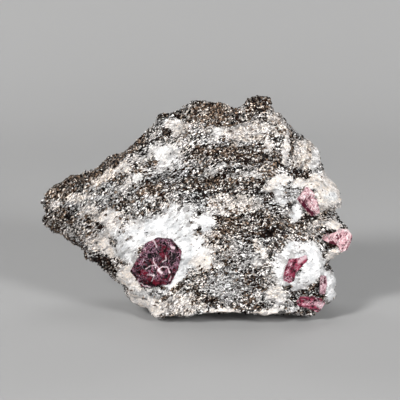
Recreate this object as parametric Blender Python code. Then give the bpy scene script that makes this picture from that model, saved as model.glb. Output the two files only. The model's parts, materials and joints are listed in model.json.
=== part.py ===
"""Corundum crystals in a hand-sized block of mica schist.

The block is one solid: a slab broken along fracture planes, with rounded feldspar knobs on its right
side, layered relief along the folded foliation, and a pocket for each crystal. Each corundum crystal is
a solid of its own that fills its pocket with a hairline gap. +Z is up, -Y is the face with the large
crystal, and the origin is on the ground under the middle of the block. Sizes are in millimetres.
"""

import math
from typing import NamedTuple

import bmesh
import bpy
from mathutils import Matrix, Vector, noise

MM = 0.001

# The slab that the block is broken from: its outline is widest at the girdle.
FRONT_Y, FRONT_SCALE = -26.0, 0.99
GIRDLE_Y = 3.0
BACK_Y, BACK_SCALE = 24.0, 0.86
SCALE_CENTRE_X = 4.0
FOOT_HEIGHT, FOOT_TUCK = 9.0, 5.0

# The relief of the broken rock.
SKIN_SIZE = 0.95
FACES_KEPT = 0.205
SWELL_LENGTH, SWELL_HEIGHT = 15.0, 0.9
LUMP_LENGTH, LUMP_HEIGHT, LUMP_MEAN = 6.0, 1.1, 0.3

# The mica layers: they climb to the right on the left wing, run level over the middle, dip on the
# right, and rise towards the back.
FOLD_SLOPE, FOLD_BEND, BACK_SLOPE = 0.30, 0.0058, 0.12
LAYER_THICKNESS, LAYER_HEIGHT = 3.6, 1.2
LAYER_WAVE_LENGTH, LAYER_WAVE = 12.0, 2.6

# The sheets that each layer is broken into, and the top part of a layer where the next sheet takes over.
SHEET_LENGTH, SHEET_SHIFT, SHEET_EDGE = 11.0, 0.37, 0.25
RAGGED_LENGTH, RAGGEDNESS = 3.3, 0.35

# What is cut out of the block: all that lies below the ground line, and a pocket for each crystal.
BELOW_GROUND_SIZE = (140.0, 100.0, 20.0)
POCKET_GAP = 0.3

# The block's girdle, seen from the front: (x, z), clockwise from the tip of the left wing.
GIRDLE = [
    (-47.2, 29.0), (-46.8, 33.2), (-43.4, 35.8), (-38.8, 37.1), (-32.8, 42.2), (-28.6, 44.0),
    (-24.8, 46.4), (-21.2, 47.7), (-17.8, 50.5), (-14.0, 53.7), (-11.6, 55.0), (-11.0, 57.6),
    (-7.2, 58.6), (-4.4, 60.0), (-2.5, 61.5), (6.0, 61.9), (8.6, 62.0), (11.4, 61.2),
    (13.6, 60.9), (16.0, 64.1), (19.0, 64.0), (20.8, 62.4), (21.8, 60.0), (24.4, 57.9),
    (26.0, 55.6), (28.8, 54.0), (33.6, 50.2), (36.0, 47.4), (37.2, 44.2), (36.4, 40.6),
    (39.0, 38.0), (41.0, 35.4), (41.6, 33.0), (40.2, 30.8), (41.2, 28.8), (43.4, 27.2),
    (44.4, 25.0), (43.6, 21.8), (42.0, 19.2), (39.2, 16.2), (39.8, 13.4), (39.2, 10.0),
    (37.0, 6.0), (34.6, -1.0), (-17.4, -1.0), (-23.4, 8.2), (-26.2, 10.2), (-31.0, 14.8),
    (-34.8, 17.2), (-38.4, 19.3), (-42.6, 21.0), (-46.0, 24.8),
]

# Each fracture takes away what lies beyond a plane: its name, a point on it, and the way it faces.
FRACTURES = [
    ("front", (10.0, -16.2, 20.0), (-0.03, -0.975, 0.20)),
    ("front_left", (-14.0, -15.2, 25.0), (-0.43, -0.89, 0.14)),
    ("front_lower_left", (-14.0, -16.6, 14.0), (-0.54, -0.82, -0.16)),
    ("front_top", (8.0, -6.4, 57.0), (0.04, -0.58, 0.81)),
    ("front_top_left", (-14.0, -7.0, 49.0), (-0.36, -0.66, 0.66)),
    ("front_shoulder", (25.5, -11.0, 46.0), (0.58, -0.78, 0.24)),
    ("front_right", (31.0, -15.0, 16.0), (0.52, -0.85, 0.05)),
    ("front_toe", (10.0, -16.0, 1.8), (0.0, -0.22, -0.975)),
    ("wing_under", (-35.0, 5.0, 13.8), (-0.60, -0.20, -0.77)),
    ("wing_end", (-46.8, 3.0, 28.0), (-0.93, -0.36, 0.06)),
    ("right_foot", (36.6, -8.0, 5.0), (0.86, -0.20, -0.46)),
    ("back", (2.0, 19.8, 20.0), (-0.10, 0.99, 0.06)),
    ("back_upper", (10.0, 17.6, 38.0), (0.10, 0.93, 0.36)),
    ("back_left", (-22.0, 15.5, 28.0), (-0.32, 0.94, 0.12)),
    ("back_right", (29.0, 12.0, 26.0), (0.62, 0.77, 0.16)),
    ("back_top", (6.0, 10.0, 57.5), (0.05, 0.62, 0.78)),
    ("back_top_left", (-22.0, 12.0, 44.0), (-0.30, 0.70, 0.65)),
    ("back_under", (2.0, 16.5, 5.0), (-0.15, 0.78, -0.60)),
    ("back_wing_under", (-32.0, 12.0, 20.0), (-0.48, 0.62, -0.62)),
]

# Rounded feldspar knobs that stand out of the block: centre, radii.
KNOBS = [
    ((36.6, -4.0, 33.4), (5.4, 7.4, 5.0)),
    ((39.0, -6.4, 23.4), (5.2, 7.0, 5.2)),
    ((35.0, -9.8, 10.8), (5.0, 6.6, 6.2)),
    ((29.4, -12.6, 14.8), (7.4, 5.2, 7.2)),
    ((31.0, -7.4, 34.6), (6.4, 5.4, 7.0)),
    ((-12.0, -11.0, 18.4), (11.6, 6.2, 11.0)),
    ((17.8, 1.6, 58.6), (3.4, 6.0, 4.2)),
]


class Crystal(NamedTuple):
    """A crystal in the rock, broken across its face."""

    name: str
    colour: str
    corners: tuple  # its section, (x, z), clockwise as seen from the front
    back_y: float  # where it ends in the rock
    taper: float  # the size of that end beside its face
    lean: tuple  # how far it leans right and up for each millimetre that it runs back
    breaks: tuple  # the breaks across its face: a point on each, and the way it faces


CRYSTALS = [
    Crystal(
        name="corundum_large",
        colour="dark_red",
        corners=(
            (-19.1, 15.3), (-16.3, 20.2), (-14.8, 23.5), (-11.2, 25.3), (-7.4, 24.8), (-4.6, 21.4),
            (-5.7, 16.5), (-7.9, 12.3), (-15.8, 11.1), (-17.1, 13.2),
        ),
        back_y=-5.0,
        taper=0.72,
        lean=(0.05, 0.0),
        breaks=(
            ((-11.5, -16.6, 18.0), (-0.10, -0.97, 0.18)),
            ((-15.4, -15.8, 20.4), (-0.40, -0.90, 0.26)),
            ((-8.2, -16.2, 21.8), (0.20, -0.90, 0.38)),
            ((-10.5, -17.2, 13.2), (0.06, -0.92, -0.36)),
            ((-17.2, -15.6, 13.4), (-0.46, -0.86, -0.22)),
            ((-6.2, -16.5, 17.2), (0.44, -0.88, -0.10)),
        ),
    ),
    Crystal(
        name="corundum_upper_right",
        colour="pink",
        corners=(
            (28.5, 35.6), (29.4, 36.9), (30.7, 39.0), (32.0, 38.2), (33.7, 35.4), (34.3, 32.0),
            (32.4, 31.2), (31.0, 32.5),
        ),
        back_y=-5.0,
        taper=0.75,
        lean=(-0.15, 0.10),
        breaks=(
            ((32.2, -11.9, 36.0), (0.30, -0.92, 0.24)),
            ((30.0, -11.6, 33.2), (-0.46, -0.84, -0.28)),
        ),
    ),
    Crystal(
        name="corundum_right_edge",
        colour="pale_pink",
        corners=(
            (35.8, 23.9), (38.1, 25.2), (41.4, 26.4), (43.6, 26.2), (44.7, 24.6), (44.4, 22.4),
            (43.0, 20.6), (40.9, 20.3), (40.1, 22.1), (37.7, 23.0),
        ),
        back_y=-4.5,
        taper=0.70,
        lean=(-0.35, 0.0),
        breaks=(
            ((39.6, -11.5, 23.4), (0.34, -0.93, 0.14)),
            ((43.3, -9.9, 22.6), (0.76, -0.62, -0.16)),
        ),
    ),
    Crystal(
        name="corundum_in_knob",
        colour="red",
        corners=(
            (24.1, 13.5), (24.8, 16.4), (26.0, 19.2), (28.6, 19.5), (30.9, 20.3), (31.2, 19.2),
            (29.1, 17.2), (27.5, 15.4), (27.1, 13.6), (25.8, 12.7),
        ),
        back_y=-11.0,
        taper=0.75,
        lean=(-0.10, 0.0),
        breaks=(
            ((27.0, -17.3, 17.0), (0.24, -0.96, 0.10)),
            ((25.2, -17.6, 14.6), (-0.18, -0.95, -0.26)),
        ),
    ),
    Crystal(
        name="corundum_sliver",
        colour="pink",
        corners=((34.9, 12.6), (35.1, 14.1), (36.4, 13.9), (36.5, 11.6), (36.0, 9.1), (34.9, 9.2)),
        back_y=-11.0,
        taper=0.80,
        lean=(-0.20, 0.0),
        breaks=(((35.6, -15.7, 11.6), (0.32, -0.94, 0.08)),),
    ),
    Crystal(
        name="corundum_bottom_right",
        colour="red",
        corners=(
            (28.3, 6.7), (29.4, 7.8), (33.5, 7.6), (36.2, 6.9), (36.3, 5.5), (34.5, 3.5),
            (31.6, 4.7), (28.7, 5.5),
        ),
        back_y=-10.5,
        taper=0.80,
        lean=(-0.08, 0.05),
        breaks=(
            ((31.8, -15.7, 5.6), (0.06, -0.97, -0.18)),
            ((35.0, -15.0, 5.6), (0.52, -0.84, 0.06)),
        ),
    ),
]
CRYSTAL_FRONT_Y = -22.0

# What each finish looks like: colour, roughness.
FINISHES = {
    "schist": ((0.42, 0.40, 0.38), 0.62),
    "dark_red": ((0.16, 0.02, 0.045), 0.30),
    "red": ((0.36, 0.05, 0.10), 0.34),
    "pink": ((0.50, 0.17, 0.23), 0.40),
    "pale_pink": ((0.66, 0.30, 0.35), 0.45),
}


def clear_scene():
    """Removes whatever the scene starts with."""
    for obj in list(bpy.data.objects):
        bpy.data.objects.remove(obj)


def finish(name):
    """A Principled material in one of the named finishes."""
    colour, roughness = FINISHES[name]
    material = bpy.data.materials.new(name)
    material.use_nodes = True
    shader = material.node_tree.nodes["Principled BSDF"]
    shader.inputs["Base Color"].default_value = (*colour, 1.0)
    shader.inputs["Roughness"].default_value = roughness
    shader.inputs["Metallic"].default_value = 0.0
    material.diffuse_color = (*colour, 1.0)
    return material


def object_from(bm, name, material=None):
    """Puts a bmesh that is in millimetres into the scene as an object in metres."""
    bmesh.ops.scale(bm, vec=(MM, MM, MM), verts=bm.verts)
    mesh = bpy.data.meshes.new(name)
    bm.to_mesh(mesh)
    bm.free()
    obj = bpy.data.objects.new(name, mesh)
    bpy.context.scene.collection.objects.link(obj)
    if material:
        mesh.materials.append(material)
    return obj


def millimetre_bmesh(mesh):
    """A bmesh in millimetres from a mesh in metres."""
    bm = bmesh.new()
    bm.from_mesh(mesh)
    bmesh.ops.scale(bm, vec=(1 / MM, 1 / MM, 1 / MM), verts=bm.verts)
    return bm


def apply_modifiers(obj):
    """Replaces an object's mesh by what its modifiers make of it."""
    graph = bpy.context.evaluated_depsgraph_get()
    mesh = bpy.data.meshes.new_from_object(obj.evaluated_get(graph))
    obj.modifiers.clear()
    obj.data = mesh


def break_off(bm, point, facing):
    """Takes away what lies beyond a plane, and closes the cut with the fracture's face."""
    cut = bmesh.ops.bisect_plane(
        bm,
        geom=bm.verts[:] + bm.edges[:] + bm.faces[:],
        dist=1e-5,
        plane_co=Vector(point),
        plane_no=Vector(facing).normalized(),
        clear_outer=True,
    )
    edges = [item for item in cut["geom_cut"] if isinstance(item, bmesh.types.BMEdge)]
    if edges:
        bmesh.ops.triangle_fill(bm, use_beauty=True, edges=edges)


def prism_through(rings):
    """Joins rings of equally many points into a closed prism."""
    bm = bmesh.new()
    loops = [[bm.verts.new(point) for point in ring] for ring in rings]
    for lower, upper in zip(loops, loops[1:]):
        for i in range(len(lower)):
            following = (i + 1) % len(lower)
            bm.faces.new((lower[i], lower[following], upper[following], upper[i]))
    bm.faces.new(loops[0])
    bm.faces.new(loops[-1])
    bmesh.ops.recalc_face_normals(bm, faces=bm.faces)
    return bm


def girdle_ring(y, scale):
    """The girdle's outline at a depth, drawn in towards the middle of the ground line.

    Its left foot is tucked in towards the front.
    """
    ring = []
    for x, z in GIRDLE:
        low = min(1.0, max(0.0, 1.0 - z / FOOT_HEIGHT)) if x < 0 else 0.0
        tuck = FOOT_TUCK * low * (GIRDLE_Y - y) / (GIRDLE_Y - FRONT_Y)
        height = z * scale if z > 0 else z
        ring.append((SCALE_CENTRE_X + (x - SCALE_CENTRE_X) * scale + tuck, y, height))
    return ring


def broken_block():
    """The slab after its fractures, with its knobs still loose in it."""
    bm = prism_through(
        [
            girdle_ring(FRONT_Y, FRONT_SCALE),
            girdle_ring(GIRDLE_Y, 1.0),
            girdle_ring(BACK_Y, BACK_SCALE),
        ]
    )
    for _name, point, facing in FRACTURES:
        break_off(bm, point, facing)
    for centre, radii in KNOBS:
        place = Matrix.Translation(centre) @ Matrix.Diagonal((*radii, 1.0))
        bmesh.ops.create_icosphere(bm, subdivisions=3, radius=1.0, matrix=place)
    return bm


def layer_height(point):
    """How high a point lies in the stack of mica layers."""
    x, y, z = point
    wave = LAYER_WAVE * noise.noise(Vector(point) / LAYER_WAVE_LENGTH)
    return z - (FOLD_SLOPE - FOLD_BEND * x) * x + BACK_SLOPE * y + wave


def sheet_height(level, x, y):
    """How far the sheet of a layer that lies at a place stands out, from 0 to 1."""
    return noise.cell(Vector((x + SHEET_SHIFT * level, y, level + 0.5)))


def sheet_step(point):
    """How far the broken sheets stand out at a point, from 0 to 1."""
    ragged = RAGGEDNESS * noise.noise(Vector(point) / RAGGED_LENGTH)
    x = point[0] / SHEET_LENGTH + ragged
    y = point[1] / SHEET_LENGTH + ragged
    layer = layer_height(point) / LAYER_THICKNESS
    level = math.floor(layer)
    across = max(0.0, 1.0 - (level + 1 - layer) / SHEET_EDGE)
    here = sheet_height(level, x, y)
    return here + (sheet_height(level + 1, x, y) - here) * across


def relief(point):
    """How far the rock's surface stands out at a point: swells, lumps, and its broken sheets."""
    swell = noise.noise(Vector(point) / SWELL_LENGTH)
    lump = noise.turbulence(Vector(point) / LUMP_LENGTH, 3, False) - LUMP_MEAN
    return SWELL_HEIGHT * swell + LUMP_HEIGHT * lump + LAYER_HEIGHT * (sheet_step(point) - 0.5)


def cut_away(block, bm, name):
    """Cuts a shape, such as a crystal's pocket, out of the block."""
    cutter = object_from(bm, name)
    cutter.hide_render = True
    cutter.display_type = "WIRE"
    cut = block.modifiers.new(name, "BOOLEAN")
    cut.operation = "DIFFERENCE"
    cut.solver = "EXACT"
    cut.object = cutter


def knit(block):
    """Gives the block one even skin, in which its knobs are grown together with it."""
    remesh = block.modifiers.new("Skin", "REMESH")
    remesh.mode = "VOXEL"
    remesh.voxel_size = SKIN_SIZE * MM
    apply_modifiers(block)


def raise_relief(block):
    """Moves the block's skin in and out by its relief."""
    bm = millimetre_bmesh(block.data)
    bm.normal_update()
    moves = [(vert, vert.normal * relief(vert.co)) for vert in bm.verts]
    for vert, move in moves:
        vert.co += move
    bmesh.ops.scale(bm, vec=(MM, MM, MM), verts=bm.verts)
    bm.to_mesh(block.data)
    bm.free()


def schist_block():
    """The block as one solid: knitted, given its relief, thinned to facets, and cut flat to rest on."""
    block = object_from(broken_block(), "mica_schist", finish("schist"))
    knit(block)
    raise_relief(block)
    knit(block)
    thin = block.modifiers.new("Facets", "DECIMATE")
    thin.ratio = FACES_KEPT
    thin.use_collapse_triangulate = True
    apply_modifiers(block)
    cut_away(block, below_ground(), "below_ground")
    return block


def below_ground():
    """A box that holds whatever lies below the ground line."""
    bm = bmesh.new()
    size = Matrix.Diagonal((*BELOW_GROUND_SIZE, 1.0))
    down = Matrix.Translation((0.0, 0.0, -BELOW_GROUND_SIZE[2] / 2))
    bmesh.ops.create_cube(bm, size=1.0, matrix=down @ size)
    return bm


def grown(corners, gap):
    """A section's corners after each of its sides is moved out by the gap."""
    sides = [Vector(after) - Vector(before) for before, after in zip(corners, corners[1:] + corners[:1])]
    outward = [Vector((-side.y, side.x)).normalized() for side in sides]
    moved = []
    for i, corner in enumerate(corners):
        before, after = outward[i - 1], outward[i]
        moved.append(Vector(corner) + (before + after) * gap / (1.0 + before.dot(after)))
    return moved


def crystal_solid(crystal, gap=0.0):
    """A crystal's body with its broken face. With a gap it is the pocket's shape, without the face."""
    face_y = crystal.breaks[0][0][1]
    corners = grown(crystal.corners, gap)
    middle = sum(corners, Vector((0.0, 0.0))) / len(corners)
    rings = []
    for y in (CRYSTAL_FRONT_Y - gap, crystal.back_y + gap):
        run = y - face_y
        scale = 1.0 - (1.0 - crystal.taper) * run / (crystal.back_y - face_y)
        centre = middle + Vector(crystal.lean) * run
        points = [centre + (corner - middle) * scale for corner in corners]
        rings.append([(point.x, y, point.y) for point in points])
    bm = prism_through(rings)
    if not gap:
        for point, facing in crystal.breaks:
            break_off(bm, point, facing)
    return bm


def stand_on_origin():
    """Moves everything so that the box around the block and its crystals stands centred on the origin."""
    graph = bpy.context.evaluated_depsgraph_get()
    points = [
        obj.matrix_world @ vert.co
        for obj in bpy.data.objects
        if not obj.hide_render
        for vert in obj.evaluated_get(graph).data.vertices
    ]
    low = Vector([min(point[axis] for point in points) for axis in range(3)])
    high = Vector([max(point[axis] for point in points) for axis in range(3)])
    middle = (low + high) / 2
    for obj in bpy.data.objects:
        obj.location -= Vector((middle.x, middle.y, low.z))


def main():
    clear_scene()
    block = schist_block()
    for crystal in CRYSTALS:
        object_from(crystal_solid(crystal), crystal.name, finish(crystal.colour))
        cut_away(block, crystal_solid(crystal, POCKET_GAP), crystal.name.replace("corundum", "pocket"))
    stand_on_origin()


main()
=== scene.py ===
"""Corundum crystals in mica schist, dressed for the studio.

The rock's skin, the mica flakes and feldspar grains that stand out of it, and the six broken crystals are
built round the shared frame. +Z is up and -Y is the face with the large crystal. Places and sizes are in
millimetres, and a mesh is made in metres.
"""

import json
import logging
import math
from dataclasses import astuple, dataclass, fields
from enum import Enum
from functools import partial

import bmesh
import bpy
import numpy as np
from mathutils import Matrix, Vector, noise
from mathutils.bvhtree import BVHTree

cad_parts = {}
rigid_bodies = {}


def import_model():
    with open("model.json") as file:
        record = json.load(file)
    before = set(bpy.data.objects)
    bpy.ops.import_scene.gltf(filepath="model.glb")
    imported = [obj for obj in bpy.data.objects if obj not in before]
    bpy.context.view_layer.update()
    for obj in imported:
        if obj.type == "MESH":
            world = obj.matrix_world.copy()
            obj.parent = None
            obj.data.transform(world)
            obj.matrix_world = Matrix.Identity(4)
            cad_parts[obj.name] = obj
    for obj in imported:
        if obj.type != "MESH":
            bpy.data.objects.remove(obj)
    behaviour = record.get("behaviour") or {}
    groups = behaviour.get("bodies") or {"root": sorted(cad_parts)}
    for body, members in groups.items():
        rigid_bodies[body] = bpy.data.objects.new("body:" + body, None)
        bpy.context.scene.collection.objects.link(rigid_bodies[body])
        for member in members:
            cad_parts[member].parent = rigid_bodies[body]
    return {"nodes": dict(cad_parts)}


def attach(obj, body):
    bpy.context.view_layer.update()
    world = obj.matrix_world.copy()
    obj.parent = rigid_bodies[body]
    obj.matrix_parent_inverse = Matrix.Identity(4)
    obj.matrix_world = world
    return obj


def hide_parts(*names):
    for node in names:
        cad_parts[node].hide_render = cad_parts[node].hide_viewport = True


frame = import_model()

MM = 0.001
LOG = logging.getLogger("corundum_in_schist")

ATTRIBUTE = "ShaderNodeAttribute"
BUMP = "ShaderNodeBump"
MAP_RANGE = "ShaderNodeMapRange"
MATERIAL_OUTPUT = "ShaderNodeOutputMaterial"
MATH = "ShaderNodeMath"
MIX = "ShaderNodeMix"
NOISE = "ShaderNodeTexNoise"
PRINCIPLED = "ShaderNodeBsdfPrincipled"
RANDOM_VALUE = "FunctionNodeRandomValue"
SEPARATE_COLOUR = "ShaderNodeSeparateColor"
VECTOR_MATH = "ShaderNodeVectorMath"
VORONOI = "ShaderNodeTexVoronoi"

# What the vector noise takes its offsets from, so that each run gives the same shapes.
NOISE_SEED = 5

# The block's mica layers: where they are counted from, how they climb to the right, how much less they do
# farther on, how they lean back, and the folds in them.
BLOCK_ORIGIN = Vector((0.95, -1.45, 0.0))
LAYER_CLIMB = 0.30
LAYER_BEND = 0.0058
LAYER_LEAN = 0.12
FOLD_HEIGHT = 2.6
FOLD_LENGTH = 12.0

# Where a patch of the rock ends, in shares of its reach, and how gently.
PATCH_EDGE = 1.3
PATCH_FADE = 0.6

# How wide the waves are by which a crack strays, how far it strays, and how sharply its side ends.
CRACK_WAVE = 0.9
CRACK_STRAY = 0.28
CRACK_SHARPNESS = 1.6

# How strongly each stone bends light, and how little its broken faces gloss.
SCHIST_IOR = 1.54
SCHIST_GLOSS = 0.07
CORUNDUM_IOR = 1.77
CORUNDUM_GLOSS = 0.05

# How many forms a coat of grains is drawn from, how far apart in the noise two forms are, and how a flake's
# top is shifted.
FORMS = 6
FORM_SHIFT = 7.1
FLAKE_SLANT = (0.04, 0.02, 0.0)


def linear(hex_colour: str) -> tuple[float, float, float, float]:
    """Turns an sRGB colour into the linear one that a shader takes.

    Args:
        hex_colour: The colour as "#rrggbb".

    Returns:
        Its linear red, green and blue, and an alpha of 1.
    """
    parts = [int(hex_colour[i : i + 2], 16) / 255 for i in (1, 3, 5)]
    red, green, blue = (
        part / 12.92 if part <= 0.04045 else ((part + 0.055) / 1.055) ** 2.4 for part in parts
    )
    return (red, green, blue, 1.0)


def add_node(
    tree: bpy.types.NodeTree, kind: str, inputs: dict | None = None, **settings: object
) -> bpy.types.Node:
    """Adds a node to a tree, with its settings and links. A mix is always one of colours.

    Args:
        tree: The tree of a material or of a Geometry Nodes modifier.
        kind: The node's type.
        inputs: What goes into its inputs, by name or number: a value, a colour as "#rrggbb", a socket to
            link, or a node, whose first socket in use is linked.
        settings: The node's own settings, by name.

    Returns:
        The new node.
    """
    node = tree.nodes.new(kind)
    if kind == MIX:
        node.data_type = "RGBA"
    for name, value in settings.items():
        setattr(node, name, value)
    for key, value in (inputs or {}).items():
        if isinstance(value, bpy.types.Node):
            value = next(socket for socket in value.outputs if socket.enabled)
        elif isinstance(value, str) and value.startswith("#"):
            value = linear(value)
        if isinstance(value, bpy.types.NodeSocket):
            tree.links.new(value, node.inputs[key])
        else:
            node.inputs[key].default_value = value
    return node


def blank_material(name: str) -> bpy.types.Material:
    """Makes a material whose tree is still empty."""
    material = bpy.data.materials.new(name)
    material.use_nodes = True
    material.node_tree.nodes.clear()
    return material


def sway(
    node: partial,
    start: bpy.types.NodeSocket | bpy.types.Node,
    colours: bpy.types.NodeSocket | bpy.types.Node,
    reach: float,
) -> bpy.types.Node:
    """Moves a vector by a pattern's colours.

    Args:
        node: Adds a node to the material's tree.
        start: The vector.
        colours: The pattern, whose middle grey moves nothing.
        reach: How far it moves from black to white.

    Returns:
        The node that gives the moved vector.
    """
    centred = node(VECTOR_MATH, {0: colours, 1: (0.5, 0.5, 0.5)}, operation="SUBTRACT")
    return node(VECTOR_MATH, {0: centred, 1: (reach,) * 3, 2: start}, operation="MULTIPLY_ADD")


def layer_height(point: Vector) -> float:
    """Finds how high a point lies in the rock's folded stack of mica layers.

    Args:
        point: A place in the frame, in millimetres.

    Returns:
        Its height above the lowest layer's plane, in millimetres.
    """
    place = Vector(point) - BLOCK_ORIGIN
    fold = FOLD_HEIGHT * noise.noise(place / FOLD_LENGTH)
    return place.z - (LAYER_CLIMB - LAYER_BEND * place.x) * place.x + LAYER_LEAN * place.y + fold


def millimetre_copy(node: str, growth: Vector = Vector((0.0, 0.0, 0.0))) -> bmesh.types.BMesh:
    """Copies a node's mesh, merged and in millimetres, and leaves the node as it is.

    Args:
        node: The node's name.
        growth: How far the copy's sides grow outwards along each axis.

    Returns:
        The copy.
    """
    obj = frame["nodes"][node]
    bm = bmesh.new()
    bm.from_mesh(obj.data)
    bmesh.ops.transform(bm, matrix=obj.matrix_world, verts=bm.verts)
    bmesh.ops.remove_doubles(bm, verts=bm.verts, dist=1e-6)
    bmesh.ops.scale(bm, vec=(1000.0, 1000.0, 1000.0), verts=bm.verts)
    bm.normal_update()
    grown = [(vert, vert.co + vert.normal * growth) for vert in bm.verts]
    for vert, place in grown:
        vert.co = place
    return bm


def piece_from(bm: bmesh.types.BMesh, name: str) -> bpy.types.Object:
    """Makes an object at the origin from a bmesh in millimetres, and frees the bmesh.

    Args:
        bm: The shape, in millimetres.
        name: The piece's name.

    Returns:
        The object, in the scene.
    """
    bmesh.ops.scale(bm, vec=(MM, MM, MM), verts=bm.verts)
    mesh = bpy.data.meshes.new(name)
    bm.to_mesh(mesh)
    bm.free()
    obj = bpy.data.objects.new(name, mesh)
    bpy.context.scene.collection.objects.link(obj)
    return obj


def settle(obj: bpy.types.Object) -> None:
    """Applies an object's modifiers, and keeps the mesh that they make.

    Args:
        obj: The object to settle.
    """
    seen = obj.evaluated_get(bpy.context.evaluated_depsgraph_get())
    mesh = bpy.data.meshes.new_from_object(seen)
    mesh.name = obj.name
    old = obj.data
    obj.modifiers.clear()
    obj.data = mesh
    bpy.data.meshes.remove(old)


def reknit(obj: bpy.types.Object, size: float) -> None:
    """Gives an object an even skin of small quads.

    Args:
        obj: The object to change.
        size: How long a quad's side is, in millimetres.
    """
    skin = obj.modifiers.new("Skin", "REMESH")
    skin.mode = "VOXEL"
    skin.voxel_size = size * MM
    settle(obj)


def write_values(mesh: bpy.types.Mesh, name: str, values: np.ndarray) -> None:
    """Writes one number or one vector for each vertex of a mesh.

    Args:
        mesh: The mesh to write on.
        name: The attribute's name.
        values: An array of as many rows as the mesh has vertices.
    """
    vector = values.ndim == 2
    layer = mesh.attributes.new(name, "FLOAT_VECTOR" if vector else "FLOAT", "POINT")
    layer.data.foreach_set("vector" if vector else "value", np.ascontiguousarray(values, "f").ravel())


def report(obj: bpy.types.Object) -> None:
    """Logs a piece's name and how many triangles it has."""
    obj.data.calc_loop_triangles()
    LOG.info("%s: %d triangles", obj.name, len(obj.data.loop_triangles))


def vertex_places(mesh: bpy.types.Mesh) -> np.ndarray:
    """Reads the places of a mesh's vertices, in millimetres, one row each."""
    places = np.empty(len(mesh.vertices) * 3, "f")
    mesh.vertices.foreach_get("co", places)
    return places.reshape(-1, 3) * 1000.0


@dataclass(frozen=True)
class Makeup:
    """What a patch of the rock is made of.

    Attributes:
        mica: The share of its grains that are mica.
        quartz: The share of its pale grains that are grey quartz, not white feldspar.
        stain: How far its feldspar is stained cream by iron.
        bronze: The share of its mica that is weathered to bronze.
    """

    mica: float
    quartz: float
    stain: float
    bronze: float


MAKEUP_NAMES = tuple(field.name for field in fields(Makeup))

# What the rock is made of away from the patches, and how that swings with its bands, clots and stains.
COMMON_ROCK = Makeup(0.42, 0.47, 0.36, 0.22)
BAND_SWING = Makeup(0.30, 0.0, 0.0, 0.0)
CLOT_SWING = Makeup(0.28, 0.0, 0.0, 0.0)
STAIN_SWING = Makeup(0.0, -0.25, 0.60, 0.50)


class Mineral(Enum):
    """The kinds of patch that the rock shows."""

    WHITE = Makeup(0.01, 0.05, 0.06, 0.2)
    FROSTED = Makeup(0.08, 0.18, 0.25, 0.3)
    PALE = Makeup(0.10, 0.13, 0.55, 0.6)
    CREAM = Makeup(0.04, 0.06, 0.60, 0.6)
    GREY = Makeup(0.03, 0.38, 0.05, 0.2)
    ASH = Makeup(0.30, 0.72, 0.10, 0.15)
    SPECKLED = Makeup(0.23, 0.15, 0.65, 0.6)
    ROSY = Makeup(0.20, 0.12, 0.90, 0.9)
    BROWN = Makeup(0.64, 0.30, 0.90, 0.70)
    UMBER = Makeup(0.80, 0.45, 0.90, 0.40)
    DARK = Makeup(0.62, 0.42, 0.60, 0.28)
    BLACK = Makeup(0.92, 0.60, 0.20, 0.05)
    CHARCOAL = Makeup(0.60, 0.95, 0.00, 0.00)
    BRONZE = Makeup(0.68, 0.35, 1.00, 0.75)


@dataclass(frozen=True)
class Patch:
    """A patch of the rock where one kind of mineral gathers.

    Attributes:
        mineral: What gathers there.
        centre: Its middle, on the rock's surface.
        reach: Half its length and half its height.
        climb: How many degrees it rises to the right.
        depth: How far it reaches into the rock and out of it.
    """

    mineral: Mineral
    centre: tuple[float, float, float]
    reach: tuple[float, float]
    climb: float = 0.0
    depth: float = 7.0

    def weights(self, places: np.ndarray, warp: np.ndarray) -> np.ndarray:
        """Finds how far each place belongs to the patch.

        Args:
            places: The places, one row each.
            warp: How much nearer or farther each place counts, which frays the patch's edge.

        Returns:
            A weight from 0 to 1 for each place.
        """
        away = places - np.array(self.centre)
        cos, sin = math.cos(math.radians(self.climb)), math.sin(math.radians(self.climb))
        along = (away[:, 0] * cos + away[:, 2] * sin) / self.reach[0]
        across = (away[:, 2] * cos - away[:, 0] * sin) / self.reach[1]
        distance = np.sqrt(along**2 + across**2 + (away[:, 1] / self.depth) ** 2) + warp
        inside = np.clip((PATCH_EDGE - distance) / PATCH_FADE, 0.0, 1.0)
        return inside * inside * (3.0 - 2.0 * inside)


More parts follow.
